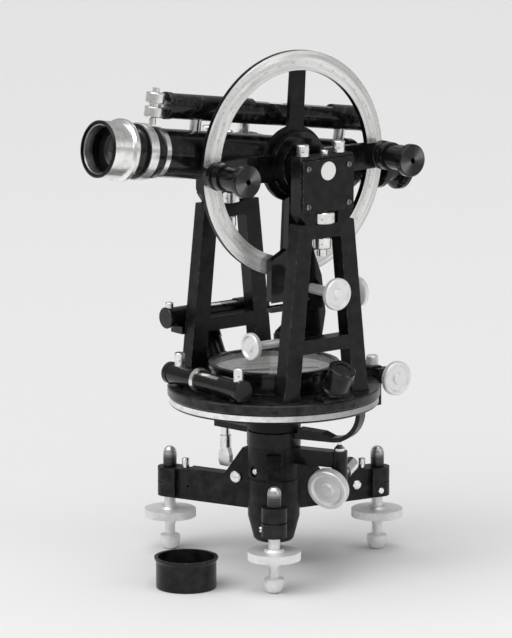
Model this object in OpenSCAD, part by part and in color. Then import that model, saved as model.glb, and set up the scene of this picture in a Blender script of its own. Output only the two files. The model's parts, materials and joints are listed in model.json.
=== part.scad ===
// Transit theodolite of the five inch class, in millimetres.
// X is the trunnion axis, the telescope looks along -Y, and Z points up.
// The origin is the mouth of the centre bore, under the tribrach's hub.

/* [Centre and tribrach] */
// Height of the hub's lower mouth above the floor
hub_lift = 14.5; // [12:0.5:20]
// Length of the tribrach's hub
hub_len = 56.5; // [50:1:66]
// Radius of the hub
hub_r = 15.2; // [14.6:0.2:18]
// Radius of the hub's lower mouth rim
hub_mouth_r = 11.7; // [10.6:0.2:13]
// Height of the hub's lower taper
hub_taper_h = 14.5; // [8:0.5:18]
// Radius of the bore under the hub
centre_bore_r = 6; // [4:0.5:7]
// Depth of the bore under the hub
centre_bore_len = 8; // [6:0.5:12]
// Distance of the foot screws from the vertical axis
foot_circle_r = 70.7; // [60:1:86]
// Thickness of a tribrach arm
arm_t = 8.5; // [7:0.5:10]
// Height of a tribrach arm
arm_h = 19; // [16:0.5:22]
// Width of the boss that takes a foot screw
boss_w = 14.5; // [13:0.5:18]
// Height of that boss
boss_h = 17.2; // [14:0.5:20]
// Height of the boss's foot above the floor
boss_lift = 32.8; // [30:0.5:36]

/* [Foot screws] */
// Radius of a foot screw's shank
foot_shank_r = 3.35; // [3:0.05:4]
// Diameter of the milled disc
foot_disc_d = 30; // [24:1:34]
// Thickness of the milled disc
foot_disc_t = 5; // [4:0.5:7]
// Diameter of the ball foot
foot_ball_d = 12; // [10:0.5:14]
// Height of the domed head over the boss
foot_head_h = 12.4; // [8:0.5:16]

/* [Centres and clamps] */
// Radius of the outer centre
outer_centre_r = 9; // [8:0.1:10]
// Radius of the inner centre
inner_centre_r = 5; // [4:0.1:6]
// Running clearance of the centres, on the radius
run_gap = 0.05; // [0.03:0.01:0.09]
// Clearance between faces that pass each other
face_gap = 0.4; // [0.3:0.1:1]
// Radius of the clamp collars
collar_r = 15.8; // [15:0.2:19]
// Height of the lower clamp collar
low_collar_h = 8.6; // [7:0.2:10]
// Plan angle of the lower tangent arm
low_arm_az = 27; // [20:1:34]
// Length of the lower tangent arm from the axis
low_arm_len = 42; // [38:1:46]

/* [Limb and vernier plate] */
// Radius of the silvered horizontal limb
limb_r = 61; // [56:1:70]
// Height of the limb's silvered edge
limb_h = 4.8; // [4:0.2:7]
// Height of the cone under the limb
limb_cone_h = 6.5; // [5:0.5:9]
// Height of the boss under the limb
limb_boss_h = 9.3; // [8:0.1:12]
// How far the vernier plate reaches past the limb
plate_over = 1; // [0.5:0.5:3]
// Thickness of the vernier plate
plate_h = 5.7; // [5:0.1:8]

/* [Compass] */
// Outer radius of the compass box
compass_r = 38.6; // [30:0.2:38.6]
// Height of the compass box
compass_h = 13.7; // [11:0.1:14.5]
// Wall of the compass box
compass_wall = 3; // [2:0.5:4]

/* [Standards] */
// Height of the trunnion axis over the vernier plate
axis_lift = 132.2; // [128:1:150]
// Distance of a standard's inner face from the vertical axis
standard_in = 39.8; // [39.6:0.2:42]
// Thickness of a standard
standard_t = 8.9; // [8:0.1:11]
// Half spread of the legs at the foot
leg_spread = 25; // [23:1:28]
// Half spread of the legs under the head
leg_top = 14.7; // [13:0.5:16]
// Width of a leg
leg_w = 12.4; // [10:0.5:14]
// Width of the bearing head
head_w = 38; // [36:1:42]
// Height of the bearing head under the axis
head_drop = 30.8; // [28:0.5:34]
// Height of the bearing head over the axis
head_rise = 7.5; // [7:0.5:10]
// Radius of the trunnion's pivots
pivot_r = 5.35; // [4.5:0.05:6]

/* [Telescope] */
// Tilt of the telescope, objective up
tele_tilt = 8.5; // [0:0.5:20]
// Distance of the objective's face from the trunnion
objective_reach = 127.8; // [120:1:135]
// Distance of the eyepiece's last flange from the trunnion
eye_reach = 96; // [92:1:104]
// Radius of the main tube
tube_r = 14; // [12.6:0.2:15]
// Radius of the objective's sleeve
sleeve_r = 16.25; // [15.25:0.25:18]
// Radius of the telescope level's casing
tele_level_r = 7.85; // [7:0.05:9]
// Height of the level's axis over the telescope's axis
tele_level_lift = 27; // [26:0.5:30]

/* [Vertical circle] */
// Outer radius of the vertical circle
circle_r = 65.5; // [58:0.5:70]
// Width of the silvered ring
circle_ring_w = 11.5; // [8:0.5:14]
// Thickness of the ring
circle_t = 3.4; // [3:0.2:4.4]
// Distance of the ring's middle plane from the vertical axis
circle_x = 17.6; // [17.4:0.2:18.6]
// Number of spokes
spokes = 4; // [3:1:6]
// Turn of the spokes from the telescope's axis
spoke_turn = -5; // [-10:1:10]
// Reach of the vernier frame to a reading microscope
vernier_reach = 60; // [56:1:64]

/* [Lens cap] */
// Plan place of the cap on the floor
cap_place = [14, -75];
// Height of the cap
cap_h = 18; // [14:1:24]
// Wall of the cap
cap_wall = 1; // [0.8:0.1:2]

/* [Hidden] */
$fn = 48;

// Heights, stacked from the hub's mouth
z_floor = -hub_lift;
z_boss = z_floor + boss_lift;
z_arm = z_boss - 0.8;
z_low_collar = hub_len + face_gap;
z_limb_boss = z_low_collar + low_collar_h + face_gap;
z_cone = z_limb_boss + limb_boss_h;
z_limb = z_cone + limb_cone_h;
z_plate = z_limb + limb_h + face_gap;
z_deck = z_plate + plate_h;
z_axis = z_deck + axis_lift;
plate_r = limb_r + plate_over;

// Plan angles of the three foot screws: towards the viewer, right and left
foot_az = [-38, 82, 202];
foot_fit = 0.05;

// Places of the levels on the plate and beside the back standard
level_y = -(compass_r + 10.1);
level_r = 6.5;
level_len = 70;
level_x = -1;
level_z = z_deck + level_r + 0.7;
side_level_r = 6.3;
side_level_len = 73;
side_level_x = -(standard_in + standard_t + side_level_r + 1.4);
side_level_z = z_deck + 34.5;

// Standard's cross-bar, over the plate
bar_z = z_deck + 27;
bar_h = 8;
window_w = 16.4;
nut_h = 6.6;
nut_d = 15;

// Clip arm and its screws, in planes across X
clip_t = 4.4;
clip_x = circle_x + circle_t / 2 + 0.6 + clip_t / 2;
clamp_knob_at = [55, 4, z_axis - 71.5];
tangent_knob_at = [clip_x, 43, z_axis - 79.5];
clip_knob_at = [clip_x, -32, z_axis - 102.5];

// Upper tangent screw, along X past the plate's edge
tangent_y = plate_r + 6.5;
tangent_z = z_deck - 0.8;
tangent_knob_x = 31;
clamp_x = 12;
clamp_y = plate_r + 2;
jaw_gap = 5.6;

// Lower tangent screw, by its plan direction
low_tan_az = -63;
low_tan_dip = 14;
low_tan_drop = 15.5;
low_lug_r = 4.6;
strap_rise = low_collar_h - 3.5;
strap_t = 2.7;
strap_r = 18;
thumb_az = 190;
thumb_r = 38;

// Boss on the circle's side of the tube
boss_r = 13.2;
boss_x = circle_x - circle_t / 2 - 0.8;

// Telescope stations along its own axis, objective negative
flange_y = -(objective_reach - 17.8);
band_y = -(objective_reach - 25.8);
level_front = -84;
level_back = 67;

// Inside of the lens cap, a sliding fit on the objective's sleeve
cap_in = sleeve_r + 0.15;

module ring(ro, ri, h) {
    difference() {
        cylinder(r = ro, h = h);
        translate([0, 0, -1]) cylinder(r = ri, h = h + 2);
    }
}

// Turns a Z-up shape to point along X, -Y or +Y
module along_x() rotate([0, 90, 0]) children();
module along_front() rotate([90, 0, 0]) children();
module along_back() rotate([-90, 0, 0]) children();

// Places a shape in the telescope's own frame, tilted on the trunnion
module tilted() translate([0, 0, z_axis]) rotate([-tele_tilt, 0, 0]) children();

// Dished knob on its shank; the face looks along +Z
module knob(d, t, shank_r, shank_len) {
    r = d / 2;
    rotate_extrude() polygon([
        [0, -shank_len], [shank_r, -shank_len], [shank_r, -2.2], [r * 0.34, -2.2],
        [r * 0.42, 0], [r - 0.6, 0], [r, 0.6], [r, t - 0.6], [r - 0.6, t], [r * 0.82, t],
        [r * 0.7, t - 0.9], [r * 0.36, t - 0.9], [r * 0.3, t + 0.5], [0, t + 0.5]
    ]);
}

// Round nut with tommy holes, standing on z = 0
module capstan_nut(d, h, holes = 4) {
    difference() {
        rotate_extrude() polygon([
            [0, 0], [d / 2 - 0.5, 0], [d / 2, 0.5], [d / 2, h - 0.5], [d / 2 - 0.5, h], [0, h]
        ]);
        for (i = [0 : holes - 1]) rotate([0, 0, 90 * i + 52])
            translate([d / 2 - 1.5, 0, h / 2]) along_x() cylinder(r = 0.7, h = 3);
    }
}

// Slotted cheese head on a short shank, standing on z = 0
module slotted_screw(d, h, shank_r, shank_len) {
    difference() {
        union() {
            rotate_extrude() polygon([[0, 0], [d / 2, 0], [d / 2, h - 0.4], [d / 2 - 0.5, h], [0, h]]);
            translate([0, 0, -shank_len]) cylinder(r = shank_r, h = shank_len + 0.1);
        }
        translate([-d, -0.4, h - 0.6]) cube([2 * d, 0.8, 2]);
    }
}

module at_feet() for (a = foot_az) rotate([0, 0, a]) children();

module tribrach() color("dimgray") difference() {
    union() {
        rotate_extrude() polygon([
            [0, 0], [hub_mouth_r - 1.2, 0], [hub_mouth_r, 1.2], [hub_r, hub_taper_h],
            [hub_r, hub_len - 19.6], [hub_r - 0.5, hub_len - 19.1], [hub_r - 0.5, hub_len - 18.6],
            [hub_r, hub_len - 18.1], [hub_r, hub_len], [0, hub_len]
        ]);
        at_feet() {
            translate([0, arm_t / 2, 0]) along_front() linear_extrude(arm_t) polygon([
                [hub_r - 3, z_arm], [foot_circle_r, z_arm], [foot_circle_r, z_arm + arm_h],
                [31, z_arm + arm_h], [18.7, hub_len - 3], [hub_r - 3, hub_len - 3]
            ]);
            translate([foot_circle_r, 0, z_boss]) {
                cylinder(d = boss_w, h = boss_h);
                translate([-boss_w / 2, -boss_w / 2, 0]) cube([boss_w / 2, boss_w, boss_h]);
            }
        }
    }
    translate([0, 0, centre_bore_len + 3]) cylinder(r = outer_centre_r + run_gap, h = hub_len);
    translate([0, 0, -1]) cylinder(r = centre_bore_r, h = centre_bore_len + 1);
    at_feet() translate([foot_circle_r, 0, z_boss - 5]) {
        cylinder(r = foot_shank_r + foot_fit, h = boss_h + arm_h);
        translate([0, -boss_w, boss_h / 2 + 4.6]) cube([boss_w, 2 * boss_w, 0.8]);
    }
    at_feet() translate([foot_circle_r, 0, z_boss + boss_h]) cylinder(r = boss_w, h = arm_h);
    rotate([0, 0, foot_az[2]]) translate([56, -arm_t, z_arm + 8]) along_back() cylinder(d = 1.7, h = 2 * arm_t);
    rotate([0, 0, -88]) translate([hub_r - 1.4, 0, hub_len - 14.3]) along_x() cylinder(r = 3.4, h = 5);
}

module boss_screws() color("silver") at_feet() {
    translate([foot_circle_r - boss_w / 2 - 3.6, 0, z_boss + boss_h]) capstan_nut(4.4, 6);
    translate([foot_circle_r - 2, -boss_w / 2, z_boss + 4]) along_front()
        slotted_screw(3.6, 1.4, 1, 0);
}

module arm_screws() color("silver") {
    rotate([0, 0, foot_az[2]]) translate([23, arm_t / 2, z_arm + arm_h - 1]) along_back()
        slotted_screw(7, 1.6, 1, 0);
    rotate([0, 0, foot_az[1]]) translate([foot_circle_r - 17, -arm_t / 2, z_arm + arm_h / 2]) along_front()
        slotted_screw(5.6, 1.6, 1, 0);
    rotate([0, 0, -88]) translate([hub_r - 1.4, 0, hub_len - 14.3]) along_x() slotted_screw(3.6, 1.2, 1, 0);
}

module foot_screw(az) {
    ball_r = foot_ball_d / 2;
    disc_z = z_floor + 19.5;
    head = z_boss + boss_h;
    rotate([0, 0, az]) translate([foot_circle_r, 0, 0]) rotate_extrude() polygon(concat(
        [[0, z_floor]],
        [for (a = [0 : 15 : 75]) [2 + (ball_r - 2) * sin(a), z_floor + 6.6 * (1 - cos(a))]],
        [
            [ball_r, z_floor + 6.6], [ball_r - 0.2, z_floor + 8.4], [3, z_floor + 9.6],
            [3, z_floor + 15], [4.4, disc_z], [foot_disc_d / 2 - 2.4, disc_z],
            [foot_disc_d / 2, disc_z + 2], [foot_disc_d / 2, disc_z + foot_disc_t],
            [6, disc_z + foot_disc_t], [5, disc_z + foot_disc_t + 1.4],
            [foot_shank_r, disc_z + foot_disc_t + 1.6], [foot_shank_r, head],
            [4, head + 0.4], [4, head + foot_head_h - 4],
            [3.4, head + foot_head_h - 2], [2, head + foot_head_h - 0.6], [0, head + foot_head_h]
        ]
    ));
}

module foot_screw_front() color("gainsboro") foot_screw(foot_az[0]);
module foot_screw_right() color("gainsboro") foot_screw(foot_az[1]);
module foot_screw_left() color("gainsboro") foot_screw(foot_az[2]);

// Clamp round the outer centre; its strap dips out and hooks up under the limb's edge
module lower_clamp_collar() color("dimgray") difference() {
    bend_r = limb_r - 4.5 - strap_r;
    union() {
        translate([0, 0, z_low_collar]) cylinder(r = collar_r, h = low_collar_h);
        rotate([0, 0, low_arm_az]) translate([0, 4, z_low_collar]) along_front() linear_extrude(8) {
            polygon([
                [collar_r - 5, strap_rise], [bend_r, strap_rise], [bend_r, strap_rise + strap_t],
                [bend_r - 6, strap_rise + strap_t + 2.4], [collar_r + 1.2, strap_rise + strap_t + 3.4],
                [collar_r + 1.2, low_collar_h], [collar_r - 5, low_collar_h]
            ]);
            difference() {
                translate([bend_r, strap_rise + strap_r]) circle(r = strap_r);
                translate([bend_r, strap_rise + strap_r]) circle(r = strap_r - strap_t);
                translate([bend_r - 2 * strap_r, strap_rise - 1]) square([2 * strap_r, 3 * strap_r]);
                translate([bend_r - 1, z_limb - z_low_collar - 1.6]) square([2 * strap_r, 2 * strap_r]);
            }
        }
        rotate([0, 0, thumb_az]) translate([collar_r - 5, -4.6, z_low_collar + strap_rise])
            cube([thumb_r - collar_r + 10, 9.2, low_collar_h - strap_rise]);
    }
    translate([0, 0, -1]) cylinder(r = outer_centre_r + run_gap, h = z_deck);
    rotate([0, 0, thumb_az]) translate([thumb_r, 0, 0]) cylinder(r = 2.55, h = z_deck);
}

// Fixed arm on the hub that carries the lug of the lower tangent screw
module tangent_arm() color("dimgray") difference() {
    rotate([0, 0, low_arm_az]) {
        translate([hub_r - 4, -4, hub_len - 9.4]) cube([low_arm_len - hub_r + 4, 8, 9.2]);
        translate([low_arm_len, 0, z_low_collar - low_tan_drop - 6]) cylinder(r = low_lug_r, h = low_tan_drop + 5.8);
    }
    translate([0, 0, -1]) cylinder(r = hub_r + 0.02, h = z_deck);
    low_tangent_frame() translate([0, 0, -30]) cylinder(r = 2.55, h = 60);
}

// Frame of the lower tangent screw: +Z runs out of the knob's face
module low_tangent_frame()
    rotate([0, 0, low_arm_az]) translate([low_arm_len, 0, z_low_collar - low_tan_drop])
        rotate([0, 0, low_tan_az - low_arm_az]) rotate([0, 90 + low_tan_dip, 0]) children();

module lower_tangent_screw() color("gainsboro") low_tangent_frame()
    translate([0, 0, 13]) knob(24, 6, 2.5, 24);

// Spring cup behind the lug, and the cone nut between the lug and the strap
module lower_spring_box() color("silver") {
    low_tangent_frame() mirror([0, 0, 1]) translate([0, 0, low_lug_r + 1.5]) difference() {
        rotate_extrude() polygon([[0, 0], [4.6, 0], [4.6, 11], [3.6, 12.6], [0, 13.4]]);
        translate([0, 0, -1]) cylinder(r = 2.6, h = 9);
    }
    rotate([0, 0, low_arm_az]) translate([low_arm_len, 0, z_low_collar - 0.2])
        rotate_extrude() polygon([
            [0, 0], [3.2, 0], [3.2, 1.6], [1.2, 3.8], [1.2, strap_rise + 0.1], [0, strap_rise + 0.1]
        ]);
}

// Thumb screw of the lower clamp: a stem with a flat paddle
module lower_clamp_screw() color("silver") rotate([0, 0, thumb_az]) translate([thumb_r, 0, z_low_collar]) {
    translate([0, 0, -10]) cylinder(r = 2.5, h = low_collar_h + 9.6);
    translate([0, 0, -7.4]) cylinder(r = 3.4, h = 7);
    translate([0, 1.6, -7.2]) along_front() linear_extrude(3.2) polygon([
        [-2.6, 0], [2.6, 0], [4.3, -5], [4.3, -9], [3, -11.6], [-3, -11.6], [-4.3, -9], [-4.3, -5]
    ]);
}

module outer_centre() color("goldenrod") difference() {
    translate([0, 0, centre_bore_len + 3.4]) cylinder(r = outer_centre_r, h = z_limb - centre_bore_len - 3.4);
    translate([0, 0, centre_bore_len]) cylinder(r = inner_centre_r + run_gap, h = z_deck);
}

// Lower plate: silvered edge, cone and boss, fixed on the outer centre
module limb() color("lightgray") difference() {
    rotate_extrude() polygon([
        [outer_centre_r, z_limb_boss], [collar_r - 0.6, z_limb_boss], [collar_r, z_limb_boss + 0.6],
        [collar_r, z_cone], [22, z_cone], [limb_r - 7, z_limb - 1], [limb_r - 0.8, z_limb],
        [limb_r, z_limb + 0.8], [limb_r, z_limb + limb_h - 0.4], [limb_r - 0.4, z_limb + limb_h],
        [limb_r - 9, z_limb + limb_h], [limb_r - 9.6, z_limb + 2.6], [outer_centre_r, z_limb + 2.6]
    ]);
    rotate([0, 0, -38]) translate([limb_r - 1, -2, z_limb - 2]) cube([4, 4, 3.2]);
}

module inner_centre() color("goldenrod") {
    translate([0, 0, centre_bore_len + 4]) cylinder(r = inner_centre_r, h = z_deck - centre_bore_len - 4);
    translate([0, 0, z_limb + 2.6 + face_gap]) cylinder(r = inner_centre_r + 8, h = z_plate - z_limb - 2.6 - face_gap);
}

// Upper clamp: its screw pinches the jaw under the limb's edge
module upper_clamp_screw() color("gainsboro") translate([clamp_x, clamp_y, z_deck + 5.1]) {
    rotate_extrude() polygon([[0, 0], [3.4, 0], [3.6, 0.4], [3.6, 5], [3, 5.8], [0, 5.8]]);
    translate([0, 0, z_limb - z_deck - 13]) cylinder(r = 1.6, h = z_deck - z_limb + 13.1);
}

module vernier_plate() color("dimgray") difference() {
    rotate_extrude() polygon([
        [inner_centre_r, z_plate], [plate_r - 0.6, z_plate], [plate_r, z_plate + 0.6],
        [plate_r, z_deck - 0.8], [plate_r - 0.8, z_deck], [inner_centre_r, z_deck]
    ]);
    for (a = [0, 180]) rotate([0, 0, a]) translate([plate_r - 9, -8, z_plate - 1])
        cube([6, 16, plate_h + 2]);
    rotate([0, 0, -38]) translate([plate_r - 1.2, -2, z_plate + 1.2]) cube([4, 4, 2]);
}

// Bevelled window frames over the two verniers
module vernier_covers() color("darkgray") for (a = [0, 180]) rotate([0, 0, a]) difference() {
    translate([0, 11, 0]) along_front() linear_extrude(22) polygon([
        [plate_r - 12.2, z_deck], [plate_r - 0.9, z_deck], [plate_r - 1.6, z_deck + 1.6],
        [plate_r - 3, z_deck + 3], [plate_r - 10, z_deck + 3]
    ]);
    translate([plate_r - 9, -7.5, z_deck - 1]) cube([6, 15, 6]);
}

module vernier_scales() color("white") for (a = [0, 180]) rotate([0, 0, a])
    translate([plate_r - 8.9, -7.4, z_plate + 1]) cube([5.8, 14.8, 1.4]);

// Reading magnifier over a vernier, leaning outwards on its bracket
module magnifier() {
    lean = 28;
    translate([plate_r - 6, 0, z_deck + 5.2]) rotate([0, lean, 0]) {
        difference() {
            rotate_extrude() polygon([
                [0, 0], [8.6, 0], [8.6, 2.2], [7.4, 2.8], [7.4, 12], [8, 12.6], [8, 16],
                [7.2, 16.6], [0, 16.6]
            ]);
            translate([0, 0, -1]) cylinder(r = 5.6, h = 16);
            translate([0, 0, 14.4]) cylinder(r = 4.6, h = 3);
        }
        translate([0, 0, 14.4]) cylinder(r = 4.55, h = 1.4);
        translate([-1, 7.2, 3.4]) cube([2, 4.6, 3]);
        translate([0, 9.5, 2.2]) cylinder(r = 1.8, h = 7);
    }
    difference() {
        translate([plate_r - 12.2, 8.6, z_deck]) cube([3, 5.6, 8.6]);
        translate([plate_r - 9, -11.05, z_deck - 0.5]) cube([6, 22.1, 3.6]);
    }
}

module magnifier_front() color("dimgray") intersection() {
    magnifier();
    translate([0, -40, z_deck + 3.2]) cube([200, 80, 60]);
}

module magnifier_back() color("dimgray") rotate([0, 0, 180]) intersection() {
    magnifier();
    translate([0, -40, z_deck + 3.2]) cube([200, 80, 60]);
}

// Bracket past the plate's edge: it houses the upper tangent screw and carries the jaw
// that grips the limb from below
module tangent_bracket() color("dimgray") difference() {
    union() {
        translate([-6, plate_r - 14, z_deck]) cube([23, 15, 3]);
        translate([2, plate_r - 4, z_deck]) cube([15, 9, 5]);
        translate([clamp_x - 5, plate_r + 0.4, z_limb - jaw_gap - 2]) cube([10, 4.6, z_deck - z_limb + jaw_gap + 6]);
        translate([0, plate_r - 4.6, z_limb - jaw_gap]) cube([clamp_x + 5, 9, jaw_gap]);
        translate([-4, tangent_y, tangent_z]) along_x() cylinder(r = 6, h = 11);
        translate([-4, plate_r - 1, z_deck + 0.02]) cube([11, 7.5, 5]);
        translate([17, tangent_y, tangent_z]) along_x() cylinder(r = 5.2, h = 5);
        translate([12, plate_r - 1, z_deck + 0.02]) cube([10, 7.5, 4.2]);
    }
    translate([-20, tangent_y, tangent_z]) along_x() cylinder(r = 2.55, h = 60);
    translate([clamp_x, clamp_y, z_limb - 30]) cylinder(r = 1.65, h = 60);
    translate([0, 0, z_limb - 1.6]) cylinder(r = plate_r + 0.4, h = z_deck - z_limb + 1.6);
}

module upper_tangent_screw() color("gainsboro")
    translate([tangent_knob_x - 4, tangent_y, tangent_z]) along_x() knob(20, 3.8, 2.5, 38);

module compass_box() color("dimgray") translate([0, 0, z_deck]) difference() {
    rotate_extrude() polygon([
        [0, 0], [compass_r, 0], [compass_r, 1.4], [compass_r - 1, 2], [compass_r - 1, compass_h - 3],
        [compass_r, compass_h - 2.4], [compass_r, compass_h - 0.6], [compass_r - 0.6, compass_h],
        [compass_r - compass_wall, compass_h], [compass_r - compass_wall, 3], [0, 3]
    ]);
    translate([0, 0, -1]) cylinder(r = 1, h = 1.5);
}

// Raised graduated ring and sunk card of the compass
module compass_dial() color("white") translate([0, 0, z_deck + 3]) {
    difference() {
        cylinder(r = compass_r - compass_wall, h = 6);
        translate([0, 0, 1.2]) cylinder(r = compass_r - compass_wall - 7, h = 6);
    }
    rotate_extrude() polygon([[0, 1], [2.2, 1], [1.4, 2.2], [0.5, 3.6], [0.3, 5.9], [0, 6.2]]);
}

module compass_needle() color("steelblue") translate([0, 0, z_deck + 8.3]) rotate([0, 0, 64]) {
    difference() {
        linear_extrude(0.8) polygon([
            [-(compass_r - 12), 0], [-3, -1.6], [3, -1.6], [compass_r - 12, 0], [3, 1.6], [-3, 1.6]
        ]);
        translate([0, 0, -1]) cylinder(r = 1.2, h = 3);
    }
    difference() {
        cylinder(r = 2.4, h = 1.8);
        translate([0, 0, -1]) cylinder(r = 1, h = 2.2);
    }
}

module compass_glass() color("aliceblue") translate([0, 0, z_deck + compass_h - 2.4])
    cylinder(r = compass_r - compass_wall, h = 1.6);

// Level casing along Z with an open window; rings stand at both ends
module level_body(r, len) rotate_extrude() polygon([
    [0, 0], [r - 0.4, 0], [r, 0.4], [r, 3.4], [r - 0.5, 3.6], [r - 0.5, len - 3.6],
    [r, len - 3.4], [r, len - 0.4], [r - 0.4, len], [0, len]
]);

module level_casing(r, len, window_from, window_len, wall = 1.3) {
    difference() {
        level_body(r, len);
        translate([0, 0, 3]) cylinder(r = r - 0.5 - wall, h = len - 6);
        translate([0, -r * 0.62, window_from]) cube([2 * r, r * 1.24, window_len]);
    }
}

module plate_level() color("dimgray") {
    translate([level_x - level_len / 2, level_y, level_z]) along_x() rotate([0, 0, 180])
        level_casing(level_r, level_len, 24, 26);
    for (s = [-1, 1]) translate([level_x + s * (level_len / 2 - 9), level_y, z_deck])
        cylinder(r = 2.6, h = 2);
}

module plate_level_vial() color("honeydew") translate([level_x - level_len / 2 + 4, level_y, level_z])
    along_x() cylinder(r = level_r - 1.85, h = level_len - 8);

module side_level() color("dimgray") {
    translate([side_level_x, -side_level_len / 2, side_level_z]) along_back() rotate([0, 0, -90])
        level_casing(side_level_r, side_level_len, 22, 30);
    for (s = [-1, 1]) translate([0, s * (side_level_len / 2 - 10.5), side_level_z - side_level_r - 3])
        difference() {
            translate([side_level_x - 3, -4, 0]) cube([-side_level_x - standard_in - standard_t + 3, 8, 4.4]);
            translate([side_level_x, -9, side_level_r + 3]) along_back() cylinder(r = side_level_r - 0.6, h = 18);
        }
}

module side_level_vial() color("honeydew") translate([side_level_x, 4 - side_level_len / 2, side_level_z])
    along_back() cylinder(r = side_level_r - 1.85, h = side_level_len - 8);

// Capstan nuts and strap that hold and set the two levels
module level_nuts() color("silver") {
    difference() {
        for (x = [level_x - level_len / 2 + 9.6, level_x + level_len / 2 - 4.6])
            translate([x, level_y, level_z + level_r - 1.5]) capstan_nut(6, 8.3);
        translate([level_x - level_len / 2, level_y, level_z]) along_x() level_body(level_r, level_len);
    }
    difference() {
        translate([level_x - 7.4, level_y, level_z]) along_x() cylinder(r = level_r + 0.7, h = 3);
        translate([level_x - 9, level_y, level_z]) along_x() cylinder(r = level_r - 0.5, h = 6);
    }
    difference() {
        for (s = [-1, 1])
            translate([side_level_x, s * (side_level_len / 2 - 3), side_level_z + side_level_r - 1.2])
                slotted_screw(5, 4, 1, 0);
        translate([side_level_x, -side_level_len / 2, side_level_z]) along_back()
            level_body(side_level_r, side_level_len);
    }
}

// Half the width of the space between the legs at a height
function leg_inner(z) =
    let (foot = leg_spread - leg_w / 2 + 0.6, top = leg_top - leg_w / 2 + 1)
    foot - (foot - top) * (z - z_deck - 4) / (z_axis - head_drop - z_deck - 3);

// Outline of a standard across X: feet, legs and bearing head, with two openings
module standard_outline() {
    z_head = z_axis - head_drop;
    w = head_w / 2;
    outer_foot = leg_spread + leg_w / 2;
    outer_top = leg_top + leg_w / 2 - 1;
    bar_top = bar_z + bar_h;
    difference() {
        polygon([
            [outer_foot + 1, z_deck], [outer_foot - 0.6, z_deck + 4], [outer_top, z_head + 1],
            [w - 3.8, z_head + 1], [w, z_head + 6.5], [w, z_axis + head_rise],
            [-w, z_axis + head_rise], [-w, z_head + 6.5], [3.8 - w, z_head + 1],
            [-outer_top, z_head + 1], [0.6 - outer_foot, z_deck + 4], [-outer_foot - 1, z_deck]
        ]);
        polygon([
            [leg_inner(z_deck + 4) - 1.6, z_deck - 1], [leg_inner(z_deck + 4), z_deck + 4],
            [leg_inner(bar_z), bar_z], [-leg_inner(bar_z), bar_z],
            [-leg_inner(z_deck + 4), z_deck + 4], [1.6 - leg_inner(z_deck + 4), z_deck - 1]
        ]);
        polygon([
            [leg_inner(bar_top), bar_top], [leg_inner(z_head - 8), z_head - 8],
            [-leg_inner(z_head - 8), z_head - 8], [-leg_inner(bar_top), bar_top]
        ]);
    }
}

// A-frame of one side, with the pivot bore, the nut window and the foot holes
module standard(side) difference() {
    translate([side > 0 ? standard_in : -standard_in - standard_t, 0, 0]) along_x() rotate([0, 0, 90])
        linear_extrude(standard_t) standard_outline();
    translate([side * (standard_in - 1) - (side > 0 ? 0 : standard_t + 1), 0, z_axis]) along_x()
        cylinder(r = pivot_r + run_gap, h = standard_t + 2);
    translate([side * standard_in - (side > 0 ? 1 : standard_t + 1), -window_w / 2, z_axis - head_drop])
        cube([standard_t + 2, window_w, nut_h + 0.4]);
    translate([side * (standard_in + standard_t / 2), 0, z_axis - head_drop - 30]) cylinder(r = 3, h = 45);
}

module standard_front() color("dimgray") standard(1);
module standard_back() color("dimgray") standard(-1);

module bearing_covers() color("dimgray") for (side = [-1, 1]) difference() {
    union() {
        translate([side * (standard_in + standard_t + 0.8) - 0.8, -head_w / 2 + 0.6, z_axis - head_drop + nut_h + 1.4])
            cube([1.6, head_w - 1.2, head_drop + head_rise - nut_h - 2]);
        translate([side * (standard_in + standard_t / 2) - standard_t / 2, -head_w / 2, z_axis + head_rise])
            cube([standard_t, head_w, 1.2]);
    }
    translate([side * (standard_in - 4), 0, z_axis]) rotate([0, side * 90, 0]) cylinder(r = pivot_r + 0.4, h = standard_t + 12);
}

module cover_screws() color("silver") for (side = [-1, 1], y = [-14.7, 14.7], z = [-19.5, 2.5])
    translate([side * (standard_in + standard_t + 1.6), y, z_axis + z]) rotate([0, side * 90, 0])
        slotted_screw(3.4, 1, 1, 0);

// Adjusting screw and nuts of each pivot bearing, and the cap screws above
module bearing_nuts() color("silver") for (side = [-1, 1]) translate([side * (standard_in + standard_t / 2), 0, 0]) {
    z_web = z_axis - head_drop;
    translate([0, 0, z_web + 0.1]) capstan_nut(nut_d, nut_h);
    translate([0, 0, z_web - 8 - nut_h - 0.1]) capstan_nut(10.4, nut_h);
    translate([0, 0, z_web - 19]) cylinder(r = 2.9, h = 33);
    for (y = [-14, 12]) translate([0, y, z_axis + head_rise + 1.2]) capstan_nut(7.2, 7);
    translate([0, 1.5, z_axis + head_rise + 1.2]) slotted_screw(4.6, 2.6, 1, 0);
}

// Frame of the two verniers, level on its own ring round the trunnion
module vernier_frame() color("dimgray") translate([clip_x - clip_t / 2, 0, z_axis]) along_x() rotate([0, 0, 90])
    difference() {
        union() {
            cylinder(r = 19, h = clip_t);
            cylinder(r = 16, h = clip_t + 5);
            for (s = [-1, 1]) linear_extrude(clip_t) polygon([
                [0, 8], [s * (vernier_reach - 4), 7.4], [s * (vernier_reach + 7), 5],
                [s * (vernier_reach + 7), -5], [s * (vernier_reach - 4), -7.4], [0, -8]
            ]);
        }
        translate([0, 0, -1]) cylinder(r = pivot_r + 1.4, h = clip_t + 20);
        for (s = [-1, 1]) translate([s * vernier_reach, 0, -1]) cylinder(r = 4.6, h = clip_t + 2);
    }

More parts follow.
